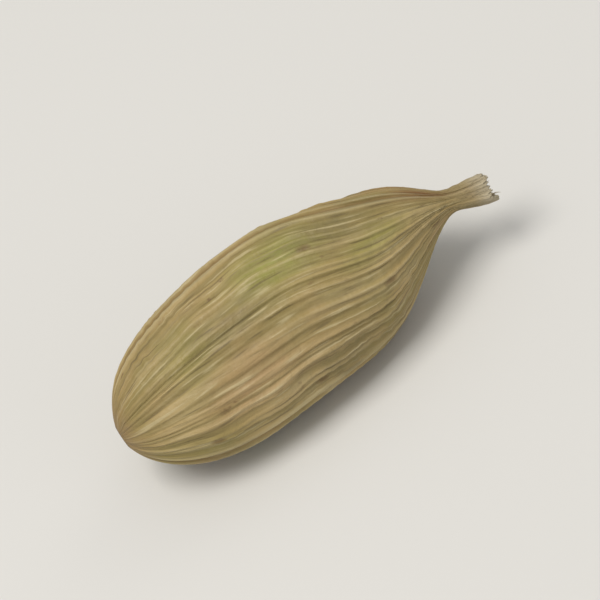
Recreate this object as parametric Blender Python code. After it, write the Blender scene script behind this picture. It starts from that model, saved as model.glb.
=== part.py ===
"""Green cardamom pod: a dried, closed, three-sided seed pod, lying on one of its sides.

Metres, +Z up. The pod lies along X with its beak towards +X. It rests on the plane
Z = 0, and the origin is on that plane, under the middle of the pod's box.

The pod, the scar where its stalk was clipped and the dried beak of its flower grew as
one piece, so they are one solid. Its surface is one formula: a spindle swollen round a
thin core, with a three-sided section, and raised ribs that run from end to end.
"""

import math

import bpy
import numpy as np

NODE = "pod"
SEED = 11

# Sizes along the pod, counted from the clipped stalk end
LENGTH = 0.0173
SHOULDER_AT = 0.0
BELLY_AT = 0.0076
NECK_AT = 0.0159

# Mean radii
BELLY_RADIUS = 0.00336
SCAR_RADIUS = 0.00058
BEAK_RADIUS = 0.00050
BEAK_FLARE = 0.00013
FLARE_LENGTH = 0.0014

# How the two ends of the swelling are rounded, and how the core blends into it
BLUNTNESS = 2.7
TAPER = 2.5
BLEND_POWER = 2.6

# The section: the angles of the three seams, from +Y towards +Z, and how sharp it is
SEAM_ANGLES = (69.0, 209.0, 332.0)
VALVES = 3
THREE_SIDEDNESS = 0.074
KEEL_SHARPNESS = 0.18
TWIST = 12.0
BEAK_TWIST = 32.0
FLATTENED = 0.93

# The centre line bows sideways. Ahead of the beak it swings out and up, and comes back
BOW = 0.00068
SWING = 0.00058
SWING_LIFT = 0.00038
SWING_AT = 0.835
SWING_LENGTH = 0.125

# Relief of the dried husk
RIBS_PER_VALVE = 10
RIBS = VALVES * RIBS_PER_VALVE
RIB_HEIGHT = 0.000072
RIB_SPREAD = (0.55, 1.15)
RIBS_AT_ENDS = 0.22
ODD_RIBS_FADE = (0.30, 0.62)
MEANDER = 1.5
RIB_CROWDING = 2.4
FURROW_DEPTH = 0.00016
FURROW_WIDTH = 13.0
SEAM_DEPTH = 0.00007
SEAM_WIDTH = 3.0
SEED_PITCH = 0.0027
SEED_BULGE = 0.000075
SEED_ROW = 24.0
SEED_ROW_WIDTH = 12.0
LUMPS = 0.00007
BEAK_PLEATS = 7
PLEAT_DEPTH = 0.000055
PLEAT_LEAN = 12.0
PLEATED_FROM = (0.90, 0.96)

# The two ends, and the flat that the pod rests on
SCAR_RIM = 0.68
SCAR_DISH = 0.00016
MOUTH_RIM = 0.62
MOUTH_DEPTH = 0.00045
TORN_EDGE = 0.00010
REST_FLAT_DEPTH = 0.00016

# The mesh: stations along the pod, and points across each rib
STATIONS = 40
POINTS_PER_RIB = 4
END_CROWDING = 0.68

HUSK_COLOUR = (0.335, 0.290, 0.115, 1.0)
HUSK_ROUGHNESS = 0.62

TURN = 2.0 * math.pi


def smoothstep(low, high, value):
    """0 below low, 1 above high, and a smooth rise between them."""
    share = np.clip((value - low) / (high - low), 0.0, 1.0)
    return share * share * (3.0 - 2.0 * share)


def core_radius(x):
    """The thin core that shows as the stalk scar at one end and as the beak at the other."""
    along = smoothstep(0.0, LENGTH, x)
    flare = BEAK_FLARE * smoothstep(LENGTH - FLARE_LENGTH, LENGTH, x)
    return SCAR_RADIUS * (1.0 - along) + BEAK_RADIUS * along + flare


def swelling(x):
    """The hollow part of the pod as a spindle: blunt at the stalk, tapered to the beak."""
    to_stalk = np.clip((BELLY_AT - x) / (BELLY_AT - SHOULDER_AT), 0.0, 1.0)
    to_beak = np.clip((x - BELLY_AT) / (NECK_AT - BELLY_AT), 0.0, 1.0)
    return BELLY_RADIUS * np.sqrt(1.0 - to_stalk**BLUNTNESS) * (1.0 - to_beak**TAPER)


def mean_radius(x):
    """Core and swelling joined by a smooth fillet."""
    joined = core_radius(x) ** BLEND_POWER + swelling(x) ** BLEND_POWER
    return joined ** (1.0 / BLEND_POWER)


def slow_waves(rng, x, phi, count):
    """A sum of slow waves over the surface, from about -1 to 1, that closes round the pod."""
    total = np.zeros(np.broadcast(x, phi).shape)
    for _ in range(count):
        around = rng.integers(1, 4)
        along = rng.uniform(0.5, 2.4) / LENGTH
        phase = rng.uniform(0.0, TURN)
        total += np.cos(TURN * along * x + around * phi + phase)
    return total / math.sqrt(count)


def from_nearest(phi, centres):
    """Signed angle in degrees from the nearest of the centres, which are in degrees."""
    gaps = [(np.degrees(phi) - centre + 180.0) % 360.0 - 180.0 for centre in centres]
    gaps = np.stack(np.broadcast_arrays(*gaps))
    nearest = np.abs(gaps).argmin(axis=0)
    return np.take_along_axis(gaps, nearest[None], axis=0)[0]


def bell(gap, width):
    return np.exp(-((gap / width) ** 2))


def relief(x, phi, rng):
    """Height of the ribs, seams, furrows, seed bulges and beak pleats over the smooth pod."""
    fullness = swelling(x) / BELLY_RADIUS
    valve_span = 360.0 / VALVES
    seams = [valve_span * k for k in range(VALVES)]
    middles = [seam + valve_span / 2.0 for seam in seams]

    rib_index = np.floor(phi / TURN * RIBS + 1e-6).astype(int) % RIBS
    heights = rng.uniform(*RIB_SPREAD, RIBS)
    # Every second rib dies out towards the ends, where the ribs crowd together
    odd_fade = smoothstep(*ODD_RIBS_FADE, fullness)
    strength = RIBS_AT_ENDS + (1.0 - RIBS_AT_ENDS) * fullness**0.5
    strength = np.where(rib_index % 2 == 1, odd_fade, 1.0) * strength
    across = 0.5 - 0.5 * np.cos(RIBS * phi)
    ribs = RIB_HEIGHT * heights[rib_index] * strength * across

    furrow = FURROW_DEPTH * fullness * bell(from_nearest(phi, middles), FURROW_WIDTH)
    from_seam = from_nearest(phi, seams)
    seam = SEAM_DEPTH * np.minimum(1.0, 2.0 * fullness) * bell(from_seam, SEAM_WIDTH)

    # The seeds lie in two rows under each seam and push the husk out in turn
    row = np.sign(from_seam) * 0.25
    seeds = np.cos(TURN * (x / SEED_PITCH + row)) * bell(np.abs(from_seam) - SEED_ROW, SEED_ROW_WIDTH)
    seeds = SEED_BULGE * fullness**2 * seeds
    lumps = LUMPS * fullness * slow_waves(rng, x, phi, 6)
    share = x / LENGTH
    pleats = smoothstep(*PLEATED_FROM, share) * np.cos(BEAK_PLEATS * phi + PLEAT_LEAN * share)
    return ribs - furrow - seam + seeds + lumps + PLEAT_DEPTH * pleats


def uneven_spacing(phi):
    """Crowds the ribs in some places round the pod and spreads them in others."""
    waves = np.cos(4.0 * phi + 0.9) / 4.0 + np.cos(7.0 * phi + 2.6) / 7.0
    return np.radians(RIB_CROWDING) * 4.0 * (waves + np.cos(11.0 * phi + 4.4) / 11.0)


def husk_points(x, phi):
    """Points of the husk, for x along the pod and phi, which counts the three valves."""
    rng = np.random.default_rng(SEED)
    share = x / LENGTH
    wander = np.radians(MEANDER) * slow_waves(rng, x, phi, 5)
    seams = np.radians((*SEAM_ANGLES, SEAM_ANGLES[0] + 360.0))
    theta = np.interp(phi, np.linspace(0.0, TURN, VALVES + 1), seams)
    turned = TWIST * (share - 0.5) + BEAK_TWIST * smoothstep(0.45, 1.0, share)
    theta = theta + wander + uneven_spacing(phi) + np.radians(turned)

    fullness = swelling(x) / BELLY_RADIUS
    corners = np.cos(VALVES * phi) + KEEL_SHARPNESS * np.cos(2.0 * VALVES * phi)
    section = 1.0 + THREE_SIDEDNESS * fullness**0.5 * corners
    radius = mean_radius(x) * section + relief(x, phi, rng)

    swing = bell(share - SWING_AT, SWING_LENGTH)
    y = BOW * np.sin(np.pi * share) ** 2 + SWING * swing + radius * np.cos(theta)
    z = SWING_LIFT * swing + FLATTENED * radius * np.sin(theta)
    return np.stack([np.broadcast_to(x, y.shape), y, z], axis=-1)


def stations():
    """Distances along the pod, closer together at its two ends."""
    even = np.linspace(0.0, 1.0, STATIONS)
    crowded = 0.5 - 0.5 * np.cos(np.pi * even)
    return LENGTH * (END_CROWDING * crowded + (1.0 - END_CROWDING) * even)


def shrunk(ring, share, inwards):
    """A smaller copy of an end ring about its own centre, moved along the pod."""
    centre = ring.mean(axis=0)
    smaller = centre + share * (ring - centre)
    smaller[:, 0] = centre[0] + inwards
    return smaller


def pod_rings():
    """Closed rings from the middle of the stalk scar, over the husk, into the beak's mouth."""
    phi = np.linspace(0.0, TURN, RIBS * POINTS_PER_RIB, endpoint=False)
    husk = list(husk_points(stations()[:, None], phi[None, :]))
    torn = np.cos(3.0 * phi + 0.6) + 0.6 * np.cos(7.0 * phi + 2.0)
    husk[-1][:, 0] += TORN_EDGE * torn
    scar = shrunk(husk[0], SCAR_RIM, SCAR_DISH)
    mouth = shrunk(husk[-1], MOUTH_RIM, -MOUTH_DEPTH)
    return [scar, *husk, mouth]


def settle(points):
    """Flattens the underside where the pod rests, and puts the origin under its middle."""
    floor = points[:, 2].min() + REST_FLAT_DEPTH
    points[:, 2] = np.maximum(points[:, 2], floor)
    middle = (points.min(axis=0) + points.max(axis=0)) / 2.0
    return points - np.array([middle[0], middle[1], floor])


def skin(ring_count, ring_size):
    """Faces between neighbouring rings, and a fan that closes each end on its centre."""
    faces = []
    for ring in range(ring_count - 1):
        for here in range(ring_size):
            there = (here + 1) % ring_size
            low, high = ring * ring_size, (ring + 1) * ring_size
            faces.append((low + here, low + there, high + there, high + here))
    first_centre = ring_count * ring_size
    last = (ring_count - 1) * ring_size
    for here in range(ring_size):
        there = (here + 1) % ring_size
        faces.append((first_centre, there, here))
        faces.append((first_centre + 1, last + here, last + there))
    return faces


def pod_mesh():
    rings = pod_rings()
    centres = [rings[0].mean(axis=0), rings[-1].mean(axis=0)]
    points = settle(np.concatenate([*rings, centres]))
    mesh = bpy.data.meshes.new(NODE)
    mesh.from_pydata(points.tolist(), [], skin(len(rings), len(rings[0])))
    mesh.update()
    mesh.shade_smooth()
    return mesh


def husk_material():
    material = bpy.data.materials.new("dried_husk")
    material.use_nodes = True
    shader = material.node_tree.nodes["Principled BSDF"]
    shader.inputs["Base Color"].default_value = HUSK_COLOUR
    shader.inputs["Roughness"].default_value = HUSK_ROUGHNESS
    shader.inputs["Metallic"].default_value = 0.0
    return material


def clear_scene():
    for old in list(bpy.data.objects):
        bpy.data.objects.remove(old)


def main():
    clear_scene()
    pod = bpy.data.objects.new(NODE, pod_mesh())
    pod.data.materials.append(husk_material())
    bpy.context.scene.collection.objects.link(pod)


main()
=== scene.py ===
# %% [markdown]
# # A dried green cardamom pod
# A cardamom pod is a small dried fruit. Its papery husk is made of three valves that meet
# in three seams, and fine ribs run over it from the stalk end to the beak, the dry rest
# of the flower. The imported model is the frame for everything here: it gives the place,
# the size and the flat spot that the pod rests on. The looks are built round it, in
# metres and in the same place, so nothing has to be fitted afterwards.

# %% Load the frame and measure its box
import math

import bpy
import numpy as np
from mathutils import Matrix, Vector


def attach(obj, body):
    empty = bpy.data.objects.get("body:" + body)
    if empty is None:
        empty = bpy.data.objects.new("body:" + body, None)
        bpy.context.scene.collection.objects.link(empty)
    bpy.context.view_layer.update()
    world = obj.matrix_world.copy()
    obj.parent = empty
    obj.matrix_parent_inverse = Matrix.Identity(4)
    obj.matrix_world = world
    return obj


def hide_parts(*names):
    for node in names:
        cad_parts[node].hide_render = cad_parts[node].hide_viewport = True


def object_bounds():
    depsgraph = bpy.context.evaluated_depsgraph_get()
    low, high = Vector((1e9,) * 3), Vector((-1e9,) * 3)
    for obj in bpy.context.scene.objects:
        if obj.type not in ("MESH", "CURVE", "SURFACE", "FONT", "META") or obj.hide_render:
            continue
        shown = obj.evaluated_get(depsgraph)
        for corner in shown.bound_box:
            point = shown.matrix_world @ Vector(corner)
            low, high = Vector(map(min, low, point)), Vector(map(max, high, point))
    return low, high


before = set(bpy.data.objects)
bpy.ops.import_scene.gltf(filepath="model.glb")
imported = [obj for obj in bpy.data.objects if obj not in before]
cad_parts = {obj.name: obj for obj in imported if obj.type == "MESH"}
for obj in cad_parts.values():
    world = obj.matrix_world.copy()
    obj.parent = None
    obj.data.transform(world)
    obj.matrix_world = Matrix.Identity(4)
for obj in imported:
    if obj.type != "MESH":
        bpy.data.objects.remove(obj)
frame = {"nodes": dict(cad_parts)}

cad_box = [list(corner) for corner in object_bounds()]
MM = 0.001
print("packed nodes:", ", ".join(frame["nodes"]))
print("frame box in mm:", [[round(value / MM, 2) for value in corner] for corner in cad_box])

# %% [markdown]
# ## The form of the pod
# On the real pod the husk is a hollow spindle: blunt where the stalk was clipped, widest
# before the middle, and drawn out to the beak. Such a form could be sculpted, or turned
# from an outline and bent. Here it is one formula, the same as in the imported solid, because
# a formula can be sampled as finely as the looks need and still keeps the solid's shape.
# First come the named sizes and the mean radius along the pod.

# %% Sizes and mean radius
LENGTH = 17.3 * MM
BELLY_AT = 7.6 * MM
NECK_AT = 15.9 * MM
BELLY_RADIUS = 3.36 * MM
SCAR_RADIUS = 0.58 * MM
BEAK_RADIUS = 0.50 * MM
BEAK_FLARE = 0.13 * MM
FLARE_LENGTH = 1.4 * MM
BLUNTNESS = 2.7
TAPER = 2.5
BLEND_POWER = 2.6


def smoothstep(low, high, value):
    """0 below low, 1 above high, and a smooth rise between them."""
    share = np.clip((value - low) / (high - low), 0.0, 1.0)
    return share * share * (3.0 - 2.0 * share)


def core_radius(x):
    """The thin core that shows as the stalk scar at one end and as the beak at the other."""
    along = smoothstep(0.0, LENGTH, x)
    flare = BEAK_FLARE * smoothstep(LENGTH - FLARE_LENGTH, LENGTH, x)
    return SCAR_RADIUS * (1.0 - along) + BEAK_RADIUS * along + flare


def swelling(x):
    """The hollow part of the pod: blunt at the stalk, tapered to the beak."""
    to_stalk = np.clip((BELLY_AT - x) / BELLY_AT, 0.0, 1.0)
    to_beak = np.clip((x - BELLY_AT) / (NECK_AT - BELLY_AT), 0.0, 1.0)
    return BELLY_RADIUS * np.sqrt(1.0 - to_stalk**BLUNTNESS) * (1.0 - to_beak**TAPER)


def mean_radius(x):
    """Core and swelling joined by a smooth fillet."""
    joined = core_radius(x) ** BLEND_POWER + swelling(x) ** BLEND_POWER
    return joined ** (1.0 / BLEND_POWER)


print("widest mean radius:", round(float(mean_radius(BELLY_AT)) / MM, 2), "mm")

# %% [markdown]
# ## Ribs on the husk
# The husk shrinks onto its veins as it dries, so the veins stand up as ribs, with hollows
# between them. A bump map could fake this, but it would vanish at the outline, so it is
# real relief. A seeded draw gives each rib its own height, and every second one dies out
# towards the ends, where the ribs crowd together. The crests are a little sharper here
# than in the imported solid, because a fine mesh can follow a narrow crest.

# %% Ribs
TURN = 2.0 * math.pi
RIBS = 30
RIB_HEIGHT = 0.072 * MM
RIB_SPREAD = (0.55, 1.15)
RIB_SHARPNESS = 1.6
RIBS_AT_ENDS = 0.22
ODD_RIBS_FADE = (0.30, 0.62)
EDGE_GUARD = 1e-6


def rib_crests(phi, fullness, rng):
    """How far each point stands up a rib, as a share of RIB_HEIGHT."""
    # The guard keeps a point that lies between two ribs with the second one
    rib_index = np.floor(phi / TURN * RIBS + EDGE_GUARD).astype(int) % RIBS
    heights = rng.uniform(*RIB_SPREAD, RIBS)
    odd_fade = smoothstep(*ODD_RIBS_FADE, fullness)
    strength = RIBS_AT_ENDS + (1.0 - RIBS_AT_ENDS) * fullness**0.5
    strength = np.where(rib_index % 2 == 1, odd_fade, 1.0) * strength
    return heights[rib_index] * strength * (0.5 - 0.5 * np.cos(RIBS * phi)) ** RIB_SHARPNESS


print("from rib to rib at the belly:", round(TURN * BELLY_RADIUS / RIBS / MM, 2), "mm")

# %% [markdown]
# ## Bells and slow waves
# Nearly every feature of a husk is either a soft line, such as a seam, or a slow swell. A
# bell curve over the angle from the nearest line makes the first, and a sum of a few slow
# waves makes the second. The waves take a whole number of turns round the pod, so they
# close without a join.

# %% Tools for the relief
SLOW_AROUND = (1, 4)
SLOW_ALONG = (0.5, 2.4)


def bell(gap, width):
    """1 where the gap is zero, and almost 0 from twice the width on."""
    return np.exp(-((gap / width) ** 2))


def from_nearest(phi, centres):
    """Signed angle in degrees from the nearest of the centres, which are in degrees."""
    gaps = [(np.degrees(phi) - centre + 180.0) % 360.0 - 180.0 for centre in centres]
    gaps = np.stack(np.broadcast_arrays(*gaps))
    nearest = np.abs(gaps).argmin(axis=0)
    return np.take_along_axis(gaps, nearest[None], axis=0)[0]


def slow_waves(rng, x, phi, count):
    """A sum of slow waves over the surface, from about -1 to 1, that closes round the pod."""
    total = np.zeros(np.broadcast(x, phi).shape)
    for _ in range(count):
        around = rng.integers(*SLOW_AROUND)
        along = rng.uniform(*SLOW_ALONG) / LENGTH
        phase = rng.uniform(0.0, TURN)
        total += np.cos(TURN * along * x + around * phi + phase)
    return total / math.sqrt(count)


print("a bell one width from its line:", round(float(bell(1.0, 1.0)), 2))

# %% [markdown]
# ## Seams, sagging valves and seed bulges
# Three seams part the valves. Each valve sags a little along its middle, and the two rows
# of seeds under each seam push the husk out in turn. Towards its end the beak is pleated,
# because the flower's tube shrivelled there. These are the same sizes, and draws in the
# same order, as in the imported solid, so the fine husk and the solid stay one pod. The
# function also returns where the crests and the seams are, for the colours.

# %% Relief of the husk
VALVES = 3
SEAMS = [360.0 / VALVES * k for k in range(VALVES)]
FURROW_DEPTH = 0.16 * MM
FURROW_WIDTH = 13.0
SEAM_DEPTH = 0.07 * MM
SEAM_WIDTH = 3.0
SEED_PITCH = 2.7 * MM
SEED_BULGE = 0.075 * MM
SEED_ROW = 24.0
SEED_ROW_WIDTH = 12.0
# The two rows are shifted to either side by a quarter of a pitch, so they alternate
SEED_SHIFT = 0.25
LUMPS = 0.07 * MM
LUMP_WAVES = 6
BEAK_PLEATS = 7
PLEAT_DEPTH = 0.055 * MM
PLEAT_LEAN = 12.0
PLEATED_FROM = (0.90, 0.96)


def relief(x, phi, rng):
    """Height of the relief over the smooth pod, with the masks that the colours need."""
    fullness = swelling(x) / BELLY_RADIUS
    middles = [seam + 180.0 / VALVES for seam in SEAMS]
    crest = rib_crests(phi, fullness, rng)
    furrow = bell(from_nearest(phi, middles), FURROW_WIDTH)
    from_seam = from_nearest(phi, SEAMS)
    seam = bell(from_seam, SEAM_WIDTH)
    in_turn = np.sign(from_seam) * SEED_SHIFT
    row = bell(np.abs(from_seam) - SEED_ROW, SEED_ROW_WIDTH)
    seeds = np.cos(TURN * (x / SEED_PITCH + in_turn)) * row

    height = RIB_HEIGHT * crest - FURROW_DEPTH * fullness * furrow
    height = height - SEAM_DEPTH * np.minimum(1.0, 2.0 * fullness) * seam
    height = height + SEED_BULGE * fullness**2 * seeds
    height = height + LUMPS * fullness * slow_waves(rng, x, phi, LUMP_WAVES)
    share = x / LENGTH
    pleats = smoothstep(*PLEATED_FROM, share) * np.cos(BEAK_PLEATS * phi + PLEAT_LEAN * share)
    height = height + PLEAT_DEPTH * pleats
    return height, {"crest": crest / RIB_SPREAD[1], "seam": seam + 0.0 * x}


print("seeds in a row, about:", round(LENGTH / SEED_PITCH))

# %% [markdown]
# ## Fine veins and creases
# Between two ribs a real husk has a few thinner veins, and short creases cross the hollows
# where it shrank lengthwise. The veins stand about a quarter of a millimetre apart and the
# creases about half a millimetre, and both are a few hundredths of a millimetre high. That
# is too fine for the solid, but it catches the light, so it is added to the fine mesh
# only. Here, too, sums of waves make them, with more waves to a turn.

# %% Veins, creases and patches
VEINS_AROUND = (62, 112)
VEIN_WAVES = 7
VEIN_BENDS = (0.6, 2.2)
VEIN_DRIFT = (0.5, 2.0)
CREASE_PITCH = (0.34 * MM, 0.75 * MM)
CREASE_WAVES = 6
CREASE_SLANT = (-12, 13)
CREASE_SWAY = 1.6
SWAYS_AROUND = (4, 11)
CREASED_FROM = (-0.8, 1.0)
CREASED_WAVES = 8
PATCHES_AROUND = (3, 15)
PATCHES_ALONG = 3.0


def veins(x, phi, rng):
    """Thin veins along the pod, from about -1 to 1, that drift apart and meet again."""
    total = np.zeros(np.broadcast(x, phi).shape)
    for _ in range(VEIN_WAVES):
        count = rng.integers(*VEINS_AROUND)
        bends = rng.uniform(*VEIN_BENDS) * TURN / LENGTH
        drift = rng.uniform(*VEIN_DRIFT) * np.sin(bends * x + rng.uniform(0.0, TURN))
        total += np.cos(count * phi + drift + rng.uniform(0.0, TURN))
    return total / math.sqrt(VEIN_WAVES)


def creases(x, phi, rng):
    """Short creases across the pod, from about -1 to 1, broken up into patches."""
    total = np.zeros(np.broadcast(x, phi).shape)
    for _ in range(CREASE_WAVES):
        pitch = rng.uniform(*CREASE_PITCH)
        slant = rng.integers(*CREASE_SLANT)
        sway = CREASE_SWAY * np.cos(rng.integers(*SWAYS_AROUND) * phi + rng.uniform(0.0, TURN))
        total += np.cos(TURN * x / pitch + slant * phi + sway + rng.uniform(0.0, TURN))
    shown = smoothstep(*CREASED_FROM, slow_waves(rng, x, phi, CREASED_WAVES))
    return shown * total / math.sqrt(CREASE_WAVES)


def patches(x, phi, rng, count):
    """Patches a few millimetres long and two or three ribs wide, from about -1 to 1."""
    total = np.zeros(np.broadcast(x, phi).shape)
    for _ in range(count):
        around = rng.integers(*PATCHES_AROUND)
        along = rng.uniform(-PATCHES_ALONG, PATCHES_ALONG) / LENGTH
        total += np.cos(TURN * along * x + around * phi + rng.uniform(0.0, TURN))
    return total / math.sqrt(count)


print("from vein to vein:", [round(TURN * BELLY_RADIUS / n / MM, 2) for n in VEINS_AROUND], "mm")

# %% [markdown]
# ## Fine relief put together
# The creases fade where a rib or a seam's lip stiffens the husk. The ribs themselves swell
# and fade here and there, as they do on a real pod, and a low lip runs along both sides of
# each seam, where two valves press together. All of this comes from a second seeded
# generator, which leaves the draws for the main form as they are.

# %% Fine relief
FINE_SEED = 12
VEIN_HEIGHT = 0.024 * MM
VEINS_AT_ENDS = 0.4
CREASE_HEIGHT = 0.030 * MM
CREASES_AT_ENDS = 0.3
STIFFENED = 0.6
RIB_FADING = 0.026 * MM
FADING_WAVES = 10
LIP_HEIGHT = 0.022 * MM
LIP_AT = 5.5
LIP_WIDTH = 2.2


def fine_relief(x, phi, crest):
    """Height of the veins, creases and seam lips, and how the ribs fade here and there."""
    rng = np.random.default_rng(FINE_SEED)
    fullness = swelling(x) / BELLY_RADIUS
    vein = veins(x, phi, rng)
    lips = bell(np.abs(from_nearest(phi, SEAMS)) - LIP_AT, LIP_WIDTH)
    height = VEIN_HEIGHT * (VEINS_AT_ENDS + (1.0 - VEINS_AT_ENDS) * fullness) * vein
    crossed = CREASES_AT_ENDS + (1.0 - CREASES_AT_ENDS) * fullness**0.5
    crossed = crossed * (1.0 - STIFFENED * crest) * (1.0 - STIFFENED * lips)
    height = height + CREASE_HEIGHT * crossed * creases(x, phi, rng)
    height = height + LIP_HEIGHT * fullness**0.5 * lips
    height = height + RIB_FADING * crest * patches(x, phi, rng, FADING_WAVES)
    return height, {"vein": vein, "lip": lips + 0.0 * x}


print("finest relief:", round(LIP_HEIGHT / MM, 3), "to", round(CREASE_HEIGHT / MM, 3), "mm")

# %% [markdown]
# ## From relief to points in space
# Each point is placed by its distance from the stalk end and its angle round the pod. The
# angle follows the valves, wanders a little, and turns towards the beak, as the husk of a
# drying pod twists, and the ribs stand closer in some places than in others. The section
# is a rounded triangle, slightly flattened. The centre line bows to one side and swings
# out ahead of the beak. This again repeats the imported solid.

# %% Points of the husk
SEED = 11
SEAM_ANGLES = (69.0, 209.0, 332.0)
THREE_SIDEDNESS = 0.074
KEEL_SHARPNESS = 0.18
TWIST = 12.0
BEAK_TWIST = 32.0
BEAK_TWIST_FROM = 0.45
FLATTENED = 0.93
BOW = 0.68 * MM
SWING = 0.58 * MM
SWING_LIFT = 0.38 * MM
SWING_AT = 0.835
SWING_LENGTH = 0.125
MEANDER = 1.5
MEANDER_WAVES = 5
RIB_CROWDING = 2.4
# Each wave: how many to a turn, and where it starts
CROWDING_WAVES = [(4.0, 0.9), (7.0, 2.6), (11.0, 4.4)]


def uneven_spacing(phi):
    """Crowds the ribs in some places round the pod and spreads them in others."""
    waves = sum(np.cos(count * phi + start) / count for count, start in CROWDING_WAVES)
    fewest = CROWDING_WAVES[0][0]
    return np.radians(RIB_CROWDING) * fewest * waves


def husk_points(x, phi):
    """Points of the husk, their angle round the pod, and the masks of the relief."""
    rng = np.random.default_rng(SEED)
    share = x / LENGTH
    wander = np.radians(MEANDER) * slow_waves(rng, x, phi, MEANDER_WAVES)
    seams = np.radians((*SEAM_ANGLES, SEAM_ANGLES[0] + 360.0))
    theta = np.interp(phi, np.linspace(0.0, TURN, VALVES + 1), seams)
    turned = TWIST * (share - 0.5) + BEAK_TWIST * smoothstep(BEAK_TWIST_FROM, 1.0, share)
    theta = theta + wander + uneven_spacing(phi) + np.radians(turned)

    fullness = swelling(x) / BELLY_RADIUS
    corners = np.cos(VALVES * phi) + KEEL_SHARPNESS * np.cos(2.0 * VALVES * phi)
    section = 1.0 + THREE_SIDEDNESS * fullness**0.5 * corners
    height, masks = relief(x, phi, rng)
    fine_height, fine_masks = fine_relief(x, phi, masks["crest"])
    masks.update(fine_masks)
    radius = mean_radius(x) * section + height + fine_height

    swing = bell(share - SWING_AT, SWING_LENGTH)
    y = BOW * np.sin(np.pi * share) ** 2 + SWING * swing + radius * np.cos(theta)
    z = SWING_LIFT * swing + FLATTENED * radius * np.sin(theta)
    points = np.stack([np.broadcast_to(x, y.shape), y, z], axis=-1)
    return points, theta, masks


print("seams at", SEAM_ANGLES, "degrees round the pod")

# %% [markdown]
# ## Rings from the stalk to the beak
# The husk is a stack of closed rings. They lie closer together near its ends, where it
# curves more. Sixteen points to each rib draw its crest and the veins beside it. The last
# rings before the beak's end are pushed to and fro along the pod, which makes its edge a
# torn one: broad notches, and finer teeth that are cut off evenly at their tips.

# %% Sample the husk and tear the beak's edge
AROUND = 480
HUSK_RINGS = 196
END_CROWDING = 0.35
TORN_FROM = 0.965
TORN_EDGE = 0.10 * MM
# Each notch wave: strength, how many to a turn, and where it starts
NOTCH_WAVES = [(1.0, 3.0, 0.6), (0.6, 7.0, 2.0)]
TEETH = 0.07 * MM
TEETH_WAVES = 6
TEETH_AROUND = (14, 40)
TEETH_CUT_AT = 0.4

phi = np.linspace(0.0, TURN, AROUND, endpoint=False)
even = np.linspace(0.0, 1.0, HUSK_RINGS)
crowded = 0.5 - 0.5 * np.cos(np.pi * even)
x = LENGTH * (END_CROWDING * crowded + (1.0 - END_CROWDING) * even)
husk, theta, masks = husk_points(x[:, None], phi[None, :])

rng = np.random.default_rng(FINE_SEED + 1)
torn = sum(strength * np.cos(count * phi + start) for strength, count, start in NOTCH_WAVES)
teeth = np.zeros(AROUND)
for _ in range(TEETH_WAVES):
    teeth += np.cos(rng.integers(*TEETH_AROUND) * phi + rng.uniform(0.0, TURN)) / 2.0
near_tip = smoothstep(TORN_FROM, 1.0, x / LENGTH)[:, None]
husk[..., 0] += near_tip * (TORN_EDGE * torn + TEETH * np.minimum(teeth, TEETH_CUT_AT))
print("rings:", HUSK_RINGS, "points in each:", AROUND)

# %% [markdown]
# ## Scar and mouth
# At the stalk end the rings go on inwards over the clipped scar, a shallow dish with a low
# rim. At the beak they go on into the mouth, where the flower fell off. Caps could close
# the ends more quickly, but smaller and smaller copies of the end ring keep the ribs
# running into them.

# %% Rings of the two ends
# Each ring: share of the end ring's size, and how far it lies along the pod from it
SCAR_RINGS = [
    (0.86, -0.03 * MM),
    (0.72, 0.05 * MM),
    (0.52, 0.13 * MM),
    (0.30, 0.16 * MM),
    (0.12, 0.12 * MM),
]
MOUTH_RINGS = [
    (0.90, 0.02 * MM),
    (0.78, -0.14 * MM),
    (0.66, -0.36 * MM),
    (0.48, -0.62 * MM),
    (0.22, -0.74 * MM),
]


def shrunk(ring, share, inwards):
    """A smaller copy of an end ring about its own centre, moved along the pod."""
    centre = ring.mean(axis=0)
    smaller = centre + share * (ring - centre)
    smaller[:, 0] = ring[:, 0] * share + centre[0] * (1.0 - share) + inwards
    return smaller


scar = [shrunk(husk[0], share, inwards) for share, inwards in reversed(SCAR_RINGS)]
mouth = [shrunk(husk[-1], share, inwards) for share, inwards in MOUTH_RINGS]
rings = np.array([*scar, *husk, *mouth])
print("rings with both ends:", len(rings))

# %% [markdown]
# ## Settle the pod
# A dried pod lies on one of its broad sides and touches the surface with a small worn
# spot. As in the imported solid, the lowest points are lifted to one level and that level
# becomes zero. The middle of the box goes over the origin, so the fine mesh lies exactly
# where the frame does.

# %% Flatten the resting spot and place the points
REST_FLAT_DEPTH = 0.16 * MM

centres = np.array([rings[0].mean(axis=0), rings[-1].mean(axis=0)])
points = np.concatenate([rings.reshape(-1, 3), centres])
floor_level = points[:, 2].min() + REST_FLAT_DEPTH
points[:, 2] = np.maximum(points[:, 2], floor_level)
middle = (points.min(axis=0) + points.max(axis=0)) / 2.0
placed_by = -np.array([middle[0], middle[1], floor_level])
points += placed_by
print("fine mesh in mm:", np.round(np.ptp(points, axis=0) / MM, 2).tolist())

# %% [markdown]
# ## Skin the rings
# Neighbouring rings are joined by four-sided faces, and each end is closed with a fan
# round its middle point. Building the faces from index arithmetic is quicker and surer
# than bridging the loops by hand, and the mesh stays closed.

# %% Make the mesh
def skin(ring_count, ring_size):
    """Four-sided faces between the rings, and three-sided ones that close the ends."""
    here = np.arange(ring_size)
    there = (here + 1) % ring_size
    low = np.arange(ring_count - 1)[:, None] * ring_size
    high = low + ring_size
    sides = np.stack([low + here, low + there, high + there, high + here], axis=-1)
    first_centre = ring_count * ring_size
    last = (ring_count - 1) * ring_size
    start = np.stack([np.full(ring_size, first_centre), there, here], axis=-1)
    end = np.stack([np.full(ring_size, first_centre + 1), last + here, last + there], axis=-1)
    return sides.reshape(-1, 4).tolist() + start.tolist() + end.tolist()


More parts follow.
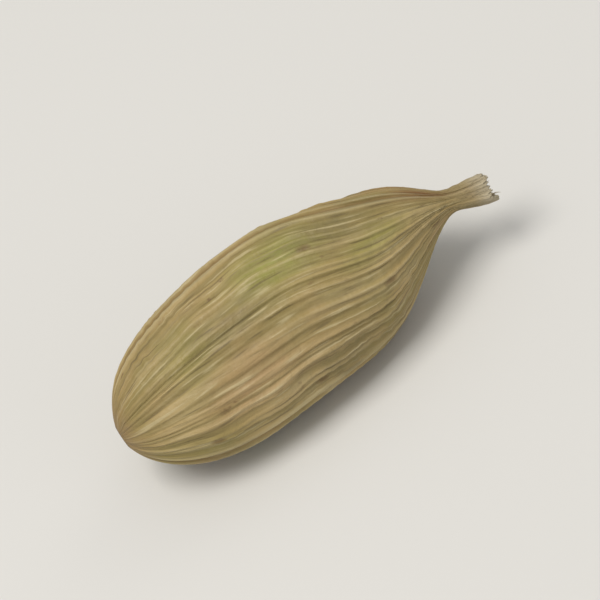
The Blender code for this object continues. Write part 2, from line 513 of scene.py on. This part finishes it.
mesh = bpy.data.meshes.new("husk")
mesh.from_pydata(points.tolist(), [], skin(len(rings), AROUND))
mesh.update()
mesh.shade_smooth()
pod = bpy.data.objects.new("husk", mesh)
bpy.context.scene.collection.objects.link(pod)
print("faces:", len(mesh.polygons))

# %% [markdown]
# ## Where the husk changed colour
# A pod doesn't dry evenly. Where the sun or the drier reached it, the green turned to
# straw, tan or brown, and sheltered places stayed green. Painting a texture would need
# an image, so each patch is a soft spot with a place and a size, stored on the mesh as a
# number per point. A few patches stand where this pod has them, and seeded ones cover the
# rest of the surface in the same manner. The listed olive patches are painted shade: they
# darken the upper side towards the beak and parts of the broad side. The seeded olive ones
# are the husk's own dull tone.

# %% Patches of colour
# Each patch: share of the length, degrees round the pod, half length, half width, strength
PATCHES = {
    "green": [
        (0.51, 99.0, 0.12, 18.0, 1.0),
        (0.72, 128.0, 0.10, 16.0, 0.6),
        (0.22, 118.0, 0.09, 20.0, 0.45),
    ],
    "tan": [
        (0.33, 160.0, 0.15, 26.0, 1.0),
        (0.60, 152.0, 0.10, 16.0, 0.25),
        (0.12, 140.0, 0.07, 40.0, 0.5),
    ],
    # The listed olive patches are painted shade; the seeded ones are the husk's own olive tone
    "olive_and_shade": [
        (0.66, 98.0, 0.13, 18.0, 1.0),
        (0.49, 188.0, 0.13, 17.0, 1.0),
        (0.54, 143.0, 0.14, 24.0, 0.22),
        (0.35, 115.0, 0.10, 14.0, 0.95),
        (0.80, 160.0, 0.06, 16.0, 0.3),
    ],
    "brown": [
        (0.87, 92.0, 0.06, 16.0, 1.0),
        (0.80, 60.0, 0.09, 14.0, 0.6),
        (0.965, 140.0, 0.02, 60.0, 0.35),
    ],
    "pale": [
        (0.14, 150.0, 0.06, 28.0, 0.7),
        (0.70, 148.0, 0.09, 13.0, 0.6),
        (0.84, 145.0, 0.05, 25.0, 0.7),
    ],
}
SCATTERED = {"green": 9, "tan": 8, "olive_and_shade": 7, "brown": 4, "pale": 5}
# The seeded patches keep to the sides that the listed ones leave free
SCATTERED_ALONG = (0.08, 0.92)
SCATTERED_ROUND = (185.0, 405.0)
SCATTERED_LENGTH = (0.05, 0.14)
SCATTERED_WIDTH = (9.0, 26.0)
SCATTERED_STRENGTH = (0.3, 0.8)


def spread(kind, share, degrees, rng):
    """One mask for all patches of a kind, from 0 to 1."""
    spots = list(PATCHES[kind])
    for _ in range(SCATTERED[kind]):
        turned = rng.uniform(*SCATTERED_ROUND)
        at = rng.uniform(*SCATTERED_ALONG)
        length = rng.uniform(*SCATTERED_LENGTH)
        width = rng.uniform(*SCATTERED_WIDTH)
        spots.append((at, turned, length, width, rng.uniform(*SCATTERED_STRENGTH)))
    mask = np.zeros(share.shape)
    for at, turned, length, width, strength in spots:
        gap = (degrees - turned + 180.0) % 360.0 - 180.0
        mask = np.maximum(mask, strength * bell(share - at, length) * bell(gap, width))
    return mask


share = np.broadcast_to((x / LENGTH)[:, None], theta.shape)
rng = np.random.default_rng(FINE_SEED + 2)
for kind in PATCHES:
    masks[kind] = spread(kind, share, np.degrees(theta), rng)
    print(kind, "covers", round(100.0 * float(masks[kind].mean())), "% of the husk")

# %% [markdown]
# ## Numbers stored on the mesh
# The material reads its masks from the mesh: how high a rib stands, where a seam or a vein
# runs, and how far along the pod a point lies. A painted texture could hold them as well,
# but the formulas know them exactly. The end rings copy the numbers of the ring that they
# grew from, and two more masks mark the scar and the mouth.

# %% Store the masks
SCAR_FADE = (1.0, 0.6)
MOUTH_FADE = (0.3, 1.0)


def per_point(whole):
    """One number per point of the mesh: those of all rings, then of the two end centres."""
    return np.concatenate([whole.ravel(), [whole[0].mean(), whole[-1].mean()]])


def copied(values):
    """The husk's own numbers, with those of the ends copied from its nearest ring."""
    first = np.repeat(values[:1], len(scar), axis=0)
    last = np.repeat(values[-1:], len(mouth), axis=0)
    return per_point(np.concatenate([first, values, last]))


def only_at_ends(at_scar, at_mouth):
    """Zero on the husk, and one number for each ring of the scar and of the mouth."""
    ring_numbers = np.concatenate([at_scar, np.zeros(HUSK_RINGS), at_mouth])
    return per_point(np.repeat(ring_numbers[:, None], AROUND, axis=1))


stored = {name: copied(values) for name, values in masks.items()}
stored["along"] = copied(share)
stored["scar"] = only_at_ends(np.linspace(*SCAR_FADE, len(scar)), np.zeros(len(mouth)))
stored["mouth"] = only_at_ends(np.zeros(len(scar)), np.linspace(*MOUTH_FADE, len(mouth)))
for name, values in stored.items():
    layer = mesh.attributes.new(name, "FLOAT", "POINT")
    layer.data.foreach_set("value", values.astype(np.float32))
print("stored on the mesh:", ", ".join(stored))

# %% [markdown]
# ## The grain
# Fibres follow the ribs, which twist with the husk, so a pattern in plain space would cut
# across them. The grain is a position on an untwisted pod, in millimetres: a round tube
# with the same angle and length. Patterns that use it follow the ribs and close round the
# pod without a join, which flat UVs wouldn't do.

# %% Store the grain
GRAIN_RADIUS_MM = 3.3

untwisted = np.broadcast_to(phi, theta.shape)
grain = np.stack(
    [
        copied(GRAIN_RADIUS_MM * np.cos(untwisted)),
        copied(GRAIN_RADIUS_MM * np.sin(untwisted)),
        (points[:, 0] - points[:, 0].min()) / MM,
    ],
    axis=-1,
)
layer = mesh.attributes.new("grain", "FLOAT_VECTOR", "POINT")
layer.data.foreach_set("vector", grain.astype(np.float32).ravel())
print("grain in mm:", np.round(np.ptp(grain, axis=0), 1).tolist())

# %% [markdown]
# ## The path of a shred
# The flower tore off as the pod dried and left short papery shreds in the beak's mouth.
# Hair would be quick to make, but it isn't a mesh and isn't exported, so each shred is a
# thin flat strip with rounded sides. It grows out of the mouth's floor, at a share of the
# way out along a spoke of the beak's own ring, bends a little towards the middle, and ends
# near the torn edge. Steps of the golden turn spread the shreds evenly without rows.

# %% Shape one shred
SHRED_STEPS = 7
SHRED_SIDES = 8
SHRED_WIDTH = (0.10 * MM, 0.24 * MM)
SHRED_THICKNESS = 0.035 * MM
SHRED_TAPER = 0.70
SHRED_TAPER_POWER = 2.5
SHRED_SINK = 0.06 * MM
SHRED_REACH = (-0.12 * MM, 0.26 * MM)
ROOTED_AT = (0.15, 0.76)
TIPPED_AT = (0.20, 0.92)
BEND = 0.12 * MM
GOLDEN_TURN = 0.382
GOLDEN_PLAY = 0.06

beak_ring = husk[-1] + placed_by
beak_centre = beak_ring.mean(axis=0)
mouth_shares, mouth_moves = np.array(MOUTH_RINGS[::-1]).T
strip_sides = TURN * np.arange(SHRED_SIDES) / SHRED_SIDES


def shred_sections(number, rng):
    """The sections of one shred from root to tip, each a flat oval of points."""
    round_share = (number * GOLDEN_TURN + rng.uniform(0.0, GOLDEN_PLAY)) % 1.0
    spoke = beak_ring[int(round_share * AROUND)] - beak_centre
    outward = np.array([0.0, spoke[1], spoke[2]]) / math.hypot(spoke[1], spoke[2])
    sideways = np.array([0.0, -outward[2], outward[1]])
    root_share = rng.uniform(*ROOTED_AT)
    depth = SHRED_SINK - np.interp(root_share, mouth_shares, mouth_moves)
    root = beak_centre + root_share * spoke - (depth, 0.0, 0.0)
    tip = beak_centre + rng.uniform(*TIPPED_AT) * spoke
    tip = tip + sideways * rng.uniform(-BEND, BEND) + (rng.uniform(*SHRED_REACH), 0.0, 0.0)
    bend = rng.uniform(-BEND, BEND) * sideways - rng.uniform(0.0, BEND) * outward
    width = rng.uniform(*SHRED_WIDTH)
    sections = []
    for t in np.linspace(0.0, 1.0, SHRED_STEPS):
        # The factor 4 makes the bend whole at mid length, where t * (1 - t) is a quarter
        line = root + t * (tip - root) + 4.0 * t * (1.0 - t) * bend
        taper = 1.0 - SHRED_TAPER * t**SHRED_TAPER_POWER
        across = 0.5 * width * taper * np.cos(strip_sides)
        through = 0.5 * SHRED_THICKNESS * taper * np.sin(strip_sides)
        sections.append(line + np.outer(across, sideways) + np.outer(through, outward))
    return np.concatenate(sections)


print("beak's mouth across:", round(float(np.ptp(beak_ring[:, 1])) / MM, 2), "mm")

# %% [markdown]
# ## All shreds in one mesh
# The shreds are too small to be pieces of their own, so they are joined in one mesh. Each
# is skinned like a tube, with a face over both ends, and how far a point lies towards the
# tip is stored for the colours.

# %% Loft the shreds
SHREDS = 24


def tube_faces(first):
    """Faces of one shred whose points start at the number first."""
    faces = []
    for step in range(SHRED_STEPS - 1):
        near = first + step * SHRED_SIDES
        far = near + SHRED_SIDES
        for side in range(SHRED_SIDES):
            after = (side + 1) % SHRED_SIDES
            faces.append((near + side, near + after, far + after, far + side))
    last = first + (SHRED_STEPS - 1) * SHRED_SIDES
    faces.append(tuple(first + side for side in reversed(range(SHRED_SIDES))))
    faces.append(tuple(last + side for side in range(SHRED_SIDES)))
    return faces


rng = np.random.default_rng(FINE_SEED + 3)
shred_points = np.concatenate([shred_sections(number, rng) for number in range(SHREDS)])
shred_faces = []
for number in range(SHREDS):
    shred_faces += tube_faces(number * SHRED_STEPS * SHRED_SIDES)

shred_mesh = bpy.data.meshes.new("beak_shreds")
shred_mesh.from_pydata(shred_points.tolist(), [], shred_faces)
shred_mesh.update()
shred_mesh.shade_smooth()
tipward = np.tile(np.repeat(np.linspace(0.0, 1.0, SHRED_STEPS), SHRED_SIDES), SHREDS)
layer = shred_mesh.attributes.new("tipward", "FLOAT", "POINT")
layer.data.foreach_set("value", tipward.astype(np.float32))
beak_shreds = bpy.data.objects.new("beak_shreds", shred_mesh)
bpy.context.scene.collection.objects.link(beak_shreds)
print("shreds:", SHREDS, "faces:", len(shred_faces))

# %% [markdown]
# ## Attach the pieces to the pod's body
# Both pieces belong to the one body of the pod and stand for its imported solid, which is
# hidden.

# %% Ride and replace
for piece in (pod, beak_shreds):
    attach(piece, "root")
    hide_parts("pod")
print("pieces:", pod.name, "and", beak_shreds.name)

# %% [markdown]
# ## Tools for the materials
# Colours are given as sRGB hex values, the way a colour picker shows them, but the
# renderer works with linear light, so one function converts them. One more adds a node
# with its settings and its links: an input may be a number, a colour or another socket.
# The third only lists the settings of a mask, which is a pattern mapped from one range of
# values to another.

# %% Colour and node helpers
STRAW_GREEN = "#9D8751"


def linear(hex_colour):
    """An sRGB hex colour as linear red, green, blue and alpha."""
    channels = [int(hex_colour[k : k + 2], 16) / 255.0 for k in (1, 3, 5)]
    return (*[c / 12.92 if c <= 0.04045 else ((c + 0.055) / 1.055) ** 2.4 for c in channels], 1.0)


def add_node(tree, kind, inputs=None, **settings):
    """Adds one node, sets its settings, and fills or links its inputs."""
    node = tree.nodes.new(kind)
    for name, value in settings.items():
        setattr(node, name, value)
    for name, value in (inputs or {}).items():
        if isinstance(value, bpy.types.NodeSocket):
            tree.links.new(value, node.inputs[name])
        else:
            node.inputs[name].default_value = value
    return node


def ranged(socket, low, high, bottom, top):
    """The settings of a mask: socket's values from low to high become bottom to top."""
    return {"Value": socket, "From Min": low, "From Max": high, "To Min": bottom, "To Max": top}


print("straw green in linear light:", [round(c, 3) for c in linear(STRAW_GREEN)])

# %% [markdown]
# ## The husk's material: dried plant husk
# The husk is plant fibre, mostly cellulose, that drying has shrunk and roughened, like thin
# straw or a corn husk. To the eye it is matt, with a faint silky sheen. The material starts
# from what the mesh stores: every mask becomes a socket of the same name, and the grain is
# the place that the patterns are drawn in.

# %% Start the husk's material
husk_material = bpy.data.materials.new("dried_husk")
husk_material.use_nodes = True
tree = husk_material.node_tree
shader = tree.nodes["Principled BSDF"]

mask = {
    name: add_node(tree, "ShaderNodeAttribute", attribute_name=name).outputs["Fac"]
    for name in stored
}
grain_place = add_node(tree, "ShaderNodeAttribute", attribute_name="grain").outputs["Vector"]
print("masks read from the mesh:", len(mask))

# %% [markdown]
# ## Places to draw patterns in
# Fibres are long and thin, so their pattern is a noise drawn out along the pod. Noise
# stands in rows of cells, and a drawn-out one would show where each row ends, as a ring
# round the pod. Less stretch would hide that, but it would also make the fibres short, so
# every strand starts from a place of its own instead. Patterns that are as long as wide
# are drawn in a turned copy of the grain, whose rows don't lie along the ribs.

# %% Draw out and turn the grain
STRANDS_PER_PITCH = 0.5
STRAND_DRIFT = 0.02
START_SPREAD = 2.4
TURNED_ABOUT = (1.0, 0.4, 0.0)
TURNED_BY = 0.7


def drawn_out(pitch, stretch):
    """The grain drawn out along the pod, with a start of its own for each strand."""
    around = STRANDS_PER_PITCH / pitch
    strand = add_node(
        tree,
        "ShaderNodeVectorMath",
        {0: grain_place, 1: (around, around, STRAND_DRIFT)},
        operation="MULTIPLY",
    ).outputs[0]
    start = add_node(
        tree, "ShaderNodeTexNoise", {"Vector": strand, "Scale": 1.0, "Detail": 1.0}
    ).outputs[1]
    drawn = add_node(
        tree,
        "ShaderNodeVectorMath",
        {0: grain_place, 1: (1.0, 1.0, 1.0 / stretch)},
        operation="MULTIPLY",
    ).outputs[0]
    return add_node(
        tree,
        "ShaderNodeVectorMath",
        {0: start, 1: (0.0, 0.0, START_SPREAD * pitch), 2: drawn},
        operation="MULTIPLY_ADD",
    ).outputs[0]


turned_place = add_node(
    tree,
    "ShaderNodeVectorRotate",
    {"Vector": grain_place, "Axis": TURNED_ABOUT, "Angle": TURNED_BY},
).outputs[0]
print("even patterns are turned by", round(math.degrees(TURNED_BY)), "degrees")

# %% [markdown]
# ## Fibres, blotches and paper grain
# The patterns have real sizes: fibres about 0.13 mm apart and 2 mm long, streaks of a few
# fibres that run on for 4 mm, wrinkles and mottling of half a millimetre, and blotches of
# 2 to 3 mm. Each texture scale is one over that size, because the grain is in millimetres.
# They could be painted by hand, but noise drawn in the grain follows the ribs by itself.

# %% Noise patterns of the husk
FIBRE_PITCH_MM = 0.13
FIBRE_STRETCH = 14.0
STREAK_PITCH_MM = 0.42
STREAK_STRETCH = 9.0
WRINKLE_WIDTH_MM = 0.50
WRINKLE_STRETCH = 1.5
BLOTCH_MM = 2.6
MOTTLE_MM = 0.55
# The real grain is finer and wouldn't show, so it is drawn coarser
PAPER_GRAIN_MM = 0.06

along_fibres = drawn_out(FIBRE_PITCH_MM, FIBRE_STRETCH)
along_streaks = drawn_out(STREAK_PITCH_MM, STREAK_STRETCH)
across_pod = drawn_out(WRINKLE_WIDTH_MM, 1.0 / WRINKLE_STRETCH)
pattern = {
    name: add_node(
        tree,
        "ShaderNodeTexNoise",
        {"Vector": place, "Scale": 1.0 / size, "Detail": detail, "Roughness": rough},
    ).outputs[0]
    for name, place, size, detail, rough in [
        ("fibres", along_fibres, FIBRE_PITCH_MM, 1.5, 0.5),
        ("streaks", along_streaks, STREAK_PITCH_MM, 3.0, 0.55),
        ("wrinkles", across_pod, WRINKLE_WIDTH_MM, 1.0, 0.5),
        ("blotches", turned_place, BLOTCH_MM, 3.0, 0.55),
        ("mottle", turned_place, MOTTLE_MM, 4.0, 0.6),
        ("paper", turned_place, PAPER_GRAIN_MM, 1.0, 0.5),
    ]
}
print("noise patterns:", ", ".join(pattern))

# %% [markdown]
# ## Specks, flecks and cut fibres
# A dried husk has small brown specks, here 1.3 mm apart, and finer flecks every half
# millimetre. Both are the middles of Voronoi cells. Those would be neat discs, so the place
# that they are drawn in is jittered and drawn out along the pod, which frays them. On the
# clipped scar the ends of the fibres show as dark dots. There the place is the pod's own,
# because the grain hardly changes between the scar's rim and its middle.

# %% Cell patterns of the husk
SPECK_SPACING_MM = 1.3
FLECK_SPACING_MM = 0.50
# The real ends are finer and wouldn't show, so they are drawn coarser
CUT_FIBRE_MM = 0.17
JITTERS_PER_MM = 9.0
JITTER_MM = 0.16
FRAYED = 0.45

jitter = add_node(
    tree, "ShaderNodeTexNoise", {"Vector": grain_place, "Scale": JITTERS_PER_MM}
).outputs[1]
jittered = add_node(
    tree,
    "ShaderNodeVectorMath",
    {0: jitter, 1: (JITTER_MM, JITTER_MM, JITTER_MM), 2: grain_place},
    operation="MULTIPLY_ADD",
).outputs[0]
frayed_place = add_node(
    tree, "ShaderNodeVectorMath", {0: jittered, 1: (1.0, 1.0, FRAYED)}, operation="MULTIPLY"
).outputs[0]
pod_place = add_node(tree, "ShaderNodeTexCoord").outputs["Object"]
for name, place, spacing in [
    ("specks", frayed_place, SPECK_SPACING_MM),
    ("flecks", frayed_place, FLECK_SPACING_MM),
    ("cut fibres", pod_place, CUT_FIBRE_MM * MM),
]:
    cells = add_node(tree, "ShaderNodeTexVoronoi", {"Vector": place, "Scale": 1.0 / spacing})
    pattern[name] = cells.outputs["Distance"]
print("all patterns:", ", ".join(pattern))

# %% [markdown]
# ## Where a layer may show
# Some layers of colour belong to one region only. Three of those regions aren't stored on
# the mesh: the bleached beak, the browned rim round the scar, and the blotches where
# flecks are frequent. Each is a mask made from what there is.

# %% Regions of the husk
NEAR_BEAK = (0.90, 0.985)
NEAR_STALK = (0.05, 0.0)
FLECKED = (0.46, 0.60)
FEWEST_FLECKS = 0.1

near_beak, near_stalk, flecked = [
    add_node(tree, "ShaderNodeMapRange", settings).outputs[0]
    for settings in (
        ranged(mask["along"], *NEAR_BEAK, 0.0, 1.0),
        ranged(mask["along"], *NEAR_STALK, 0.0, 1.0),
        ranged(pattern["blotches"], *FLECKED, FEWEST_FLECKS, 1.0),
    )
]
print("bleached over the last", round((1.0 - NEAR_BEAK[0]) * LENGTH / MM, 1), "mm")

# %% [markdown]
# ## Colour in layers
# The colour is laid down mostly as it came to be: straw green first, then the green, olive,
# tan and pale patches, of which the listed olive ones are painted shade, pale rib crests,
# hollows darkened partly by their own duller tone and partly by painted shade, veins,
# fibres, seam lines and specks, and last the two dry ends. Each layer is a hex colour, a
# mask that says how much of it shows, and for some a region that it keeps to. One loop
# mixes them all, each over those before.

# %% Lay the colours
layers = [
    ("#A58C5A", ranged(pattern["blotches"], 0.42, 0.66, 0.0, 0.75), None),
    ("#91953F", ranged(pattern["mottle"], 0.25, 0.60, 0.60, 1.0), mask["green"]),
    ("#857C42", ranged(pattern["blotches"], 0.52, 0.34, 0.0, 0.55), None),
    # Painted shade where the listed olive patches lie, the husk's own olive where seeded ones do
    ("#75693F", ranged(pattern["mottle"], 0.70, 0.30, 0.45, 0.95), mask["olive_and_shade"]),
    ("#A5865B", ranged(pattern["mottle"], 0.20, 0.65, 0.50, 0.95), mask["tan"]),
    ("#BCA674", ranged(pattern["mottle"], 0.25, 0.60, 0.45, 0.90), mask["pale"]),
    ("#B8A276", ranged(mask["crest"], 0.40, 0.90, 0.0, 0.30), None),
    # Painted shade in the hollows between the ribs, over their own duller, greener tone
    ("#6E673A", ranged(mask["crest"], 0.28, 0.0, 0.0, 0.28), None),
    ("#B9A77A", ranged(mask["vein"], 0.3, 1.6, 0.0, 0.28), None),
    ("#776841", ranged(mask["vein"], -0.3, -1.6, 0.0, 0.28), None),
    ("#806F42", ranged(pattern["streaks"], 0.47, 0.34, 0.0, 0.42), None),
    ("#B5A479", ranged(pattern["streaks"], 0.55, 0.72, 0.0, 0.40), None),
    ("#6B5C35", ranged(pattern["fibres"], 0.47, 0.30, 0.0, 0.42), None),
    ("#BBAB82", ranged(pattern["fibres"], 0.56, 0.72, 0.0, 0.36), None),
    ("#C9BB90", ranged(pattern["fibres"], 0.63, 0.69, 0.0, 0.30), None),
    ("#57482A", ranged(pattern["fibres"], 0.36, 0.30, 0.0, 0.35), None),
    ("#B8AB80", ranged(mask["lip"], 0.20, 1.0, 0.0, 0.45), None),
    ("#7E6136", ranged(mask["seam"], 0.2, 1.0, 0.0, 0.50), None),
    ("#845B35", ranged(pattern["streaks"], 0.35, 0.60, 0.30, 0.90), mask["brown"]),
    ("#654928", ranged(pattern["specks"], 0.13, 0.05, 0.0, 0.60), None),
    ("#6A4E2C", ranged(pattern["flecks"], 0.15, 0.07, 0.0, 0.65), flecked),
    ("#AB9A77", ranged(pattern["streaks"], 0.30, 0.55, 0.35, 1.0), near_beak),
    ("#BAB098", ranged(mask["along"], 0.955, 0.995, 0.0, 0.65), None),
    ("#93784E", ranged(pattern["mottle"], 0.30, 0.60, 0.4, 0.9), near_stalk),
    ("#81623D", ranged(mask["scar"], 0.0, 0.6, 0.0, 0.9), None),
    ("#4A3520", ranged(pattern["cut fibres"], 0.42, 0.18, 0.0, 0.85), mask["scar"]),
    ("#563F26", ranged(mask["mouth"], 0.3, 0.9, 0.0, 0.9), None),
]
colour = linear(STRAW_GREEN)
for hex_colour, settings, region in layers:
    amount = add_node(tree, "ShaderNodeMapRange", settings).outputs[0]
    if region is not None:
        within = add_node(tree, "ShaderNodeMath", {0: amount, 1: region}, operation="MULTIPLY")
        amount = within.outputs[0]
    mixed = add_node(
        tree, "ShaderNodeMix", {0: amount, 6: colour, 7: linear(hex_colour)}, data_type="RGBA"
    )
    colour = mixed.outputs[2]
tree.links.new(colour, shader.inputs["Base Color"])
print("colour layers:", len(layers))

# %% [markdown]
# ## Roughness, sheen and the finest bumps
# Dry husk has the refraction index of cellulose, about 1.47. Its roughness falls from 0.64
# in the hollows to 0.44 on the crests, which other pods have rubbed smooth, and varies a
# little with the mottling. What is finer than the mesh is a bump of a few hundredths of a
# millimetre: small wrinkles across the pod, the fibres' own walls and the papery grain.

# %% Finish the husk
HOLLOW_ROUGHNESS = 0.64
CREST_ROUGHNESS = 0.44
UNEVEN_ROUGHNESS = (-0.05, 0.07)
BUMPS = {"wrinkles": 0.060 * MM, "fibres": 0.046 * MM, "paper": 0.016 * MM}
CELLULOSE_IOR = 1.47

along_rib = add_node(
    tree,
    "ShaderNodeMapRange",
    ranged(mask["crest"], 0.0, 1.0, HOLLOW_ROUGHNESS, CREST_ROUGHNESS),
).outputs[0]
uneven = add_node(
    tree, "ShaderNodeMapRange", ranged(pattern["mottle"], 0.3, 0.7, *UNEVEN_ROUGHNESS)
).outputs[0]
rough = add_node(tree, "ShaderNodeMath", {0: along_rib, 1: uneven}, operation="ADD").outputs[0]
tree.links.new(rough, shader.inputs["Roughness"])
normal = {}
for name, height in BUMPS.items():
    settings = {"Height": pattern[name], "Distance": height, "Strength": 1.0, **normal}
    bump = add_node(tree, "ShaderNodeBump", settings)
    normal = {"Normal": bump.outputs[0]}
tree.links.new(bump.outputs[0], shader.inputs["Normal"])
shader.inputs["IOR"].default_value = CELLULOSE_IOR
shader.inputs["Metallic"].default_value = 0.0
shader.inputs["Sheen Weight"].default_value = 0.08
shader.inputs["Sheen Roughness"].default_value = 0.4
mesh.materials.append(husk_material)
print("nodes in the husk's material:", len(tree.nodes))

# %% [markdown]
# ## The shreds' material: dry plant fibre
# The shreds are bleached fibre, paler than the husk and browner at the root, without any
# green left. The same helpers build it. Its strands are 0.05 mm wide and eight times as
# long, and they run along the pod, as the shreds do.

# %% Finish the shreds
ROOT_BROWN = "#8A6E45"
TIP_STRAW = "#C9BFA5"
STRAND_SHADE = "#8C7550"
STRAND_MM = 0.05
STRAND_STRETCH = 8.0
STRAND_BUMP = 0.006 * MM

fibre_material = bpy.data.materials.new("dry_fibre")
fibre_material.use_nodes = True
tree = fibre_material.node_tree
shader = tree.nodes["Principled BSDF"]
shred_place = add_node(tree, "ShaderNodeTexCoord").outputs["Object"]
drawn = add_node(
    tree,
    "ShaderNodeVectorMath",
    {0: shred_place, 1: (1.0 / MM / STRAND_STRETCH, 1.0 / MM, 1.0 / MM)},
    operation="MULTIPLY",
).outputs[0]
strands = add_node(
    tree, "ShaderNodeTexNoise", {"Vector": drawn, "Scale": 1.0 / STRAND_MM, "Detail": 2.0}
).outputs[0]
tipwards = add_node(tree, "ShaderNodeAttribute", attribute_name="tipward").outputs["Fac"]
bleached, shaded, rough = [
    add_node(tree, "ShaderNodeMapRange", settings).outputs[0]
    for settings in (
        ranged(tipwards, 0.1, 0.8, 0.0, 1.0),
        ranged(strands, 0.55, 0.35, 0.0, 0.5),
        ranged(strands, 0.3, 0.7, 0.6, 0.8),
    )
]
colour = linear(ROOT_BROWN)
for amount, hex_colour in ((bleached, TIP_STRAW), (shaded, STRAND_SHADE)):
    mixed = add_node(
        tree, "ShaderNodeMix", {0: amount, 6: colour, 7: linear(hex_colour)}, data_type="RGBA"
    )
    colour = mixed.outputs[2]
tree.links.new(colour, shader.inputs["Base Color"])
tree.links.new(rough, shader.inputs["Roughness"])
bump = add_node(
    tree, "ShaderNodeBump", {"Height": strands, "Distance": STRAND_BUMP, "Strength": 1.0}
)
tree.links.new(bump.outputs[0], shader.inputs["Normal"])
shader.inputs["IOR"].default_value = CELLULOSE_IOR
shred_mesh.materials.append(fibre_material)
print("nodes in the shreds' material:", len(tree.nodes))

# %% [markdown]
# ## Camera
# The pod is seen square on to one of its broad sides, with the beak up to the right, from
# far off. The camera stands in front of the pod and looks down at it. It is rolled, so the
# pod's own axis rises to the right in the picture, as in the photograph. A long lens
# keeps the perspective flat, as a far camera's is.

# %% Place the camera
LOOK_DOWN = math.radians(44.0)
AXIS_RISE = math.radians(34.0)
LENS_MM = 180.0
SENSOR_MM = 36.0
FRAME_WIDTH = 23.5 * MM
CAMERA_DISTANCE = FRAME_WIDTH * LENS_MM / SENSOR_MM

upright = Vector((0.0, math.sin(LOOK_DOWN), math.cos(LOOK_DOWN)))
towards_camera = Vector((0.0, -math.cos(LOOK_DOWN), math.sin(LOOK_DOWN)))
level = Vector((1.0, 0.0, 0.0))
picture_right = math.cos(AXIS_RISE) * level - math.sin(AXIS_RISE) * upright
picture_up = math.sin(AXIS_RISE) * level + math.cos(AXIS_RISE) * upright
low, high = (Vector(corner) for corner in cad_box)
target = (low + high) / 2.0

camera_data = bpy.data.cameras.new("camera")
camera_data.lens = LENS_MM
camera_data.sensor_width = SENSOR_MM
camera_data.clip_start = 0.005
camera_data.clip_end = 20.0
camera = bpy.data.objects.new("camera", camera_data)
bpy.context.scene.collection.objects.link(camera)
turned = Matrix((picture_right, picture_up, towards_camera)).transposed().to_4x4()
camera.matrix_world = Matrix.Translation(target + towards_camera * CAMERA_DISTANCE) @ turned
bpy.context.scene.camera = camera
print("camera is", round(CAMERA_DISTANCE / MM), "mm from the pod")

# %% [markdown]
# ## Floor
# The floor is plain pale card, pressed from paper pulp, so it is matt and doesn't mirror
# the pod. A square plane would do, but the edge of a wide disc is as far off on every
# side. It isn't part of the pod.

# %% Build the floor
FLOOR_RADIUS = 1.2
FLOOR_SIDES = 64
CARD_COLOUR = "#D5D4D1"
CARD_ROUGHNESS = 0.9

corners = [
    (FLOOR_RADIUS * math.cos(angle), FLOOR_RADIUS * math.sin(angle), 0.0)
    for angle in (TURN * k / FLOOR_SIDES for k in range(FLOOR_SIDES))
]
floor_mesh = bpy.data.meshes.new("floor")
floor_mesh.from_pydata(corners, [], [tuple(range(FLOOR_SIDES))])
floor = bpy.data.objects.new("floor", floor_mesh)
bpy.context.scene.collection.objects.link(floor)
card = bpy.data.materials.new("matt_card")
card.use_nodes = True
card_shader = card.node_tree.nodes["Principled BSDF"]
card_shader.inputs["Base Color"].default_value = linear(CARD_COLOUR)
card_shader.inputs["Roughness"].default_value = CARD_ROUGHNESS
floor_mesh.materials.append(card)
print("floor across:", 2.0 * FLOOR_RADIUS, "m")

# %% [markdown]
# ## Light
# The key light is a soft box to the upper left of the picture, low enough that the ribs
# throw fine shadows. A weaker one fills from the right, a faint one from behind lights the
# upper rim, and a pale surround softens the rest. Their powers are small, because they
# stand within 30 cm of the pod. A sun lamp would be simpler, but its shadows are hard. The
# plain view transform keeps the colours close to those that are given.

# %% Light it
# Each light: picture right, picture up, towards the camera, distance, size, watts, colour
LIGHTS = {
    "key": (-0.75, 0.50, 0.90, 0.24, 0.15, 0.425, "#FFFBF5"),
    "fill": (0.90, -0.10, 0.80, 0.30, 0.20, 0.16, "#F4F7FF"),
    "back": (0.30, 0.90, 0.10, 0.26, 0.12, 0.04, "#FFFFFF"),
}
SURROUND_COLOUR = "#F3F3F1"
SURROUND_STRENGTH = 0.52

for name, (right, up, near, distance, size, watts, hex_colour) in LIGHTS.items():
    way = (right * picture_right + up * picture_up + near * towards_camera).normalized()
    light_data = bpy.data.lights.new(name, "AREA")
    light_data.size = size
    light_data.energy = watts
    light_data.color = linear(hex_colour)[:3]
    light = bpy.data.objects.new(name, light_data)
    light.location = target + way * distance
    light.rotation_euler = way.to_track_quat("Z", "Y").to_euler()
    bpy.context.scene.collection.objects.link(light)

surround = bpy.data.worlds.new("surround")
surround.use_nodes = True
background = surround.node_tree.nodes["Background"]
background.inputs["Color"].default_value = linear(SURROUND_COLOUR)
background.inputs["Strength"].default_value = SURROUND_STRENGTH
bpy.context.scene.world = surround
bpy.context.scene.view_settings.view_transform = "Standard"
print("lights:", ", ".join(LIGHTS))
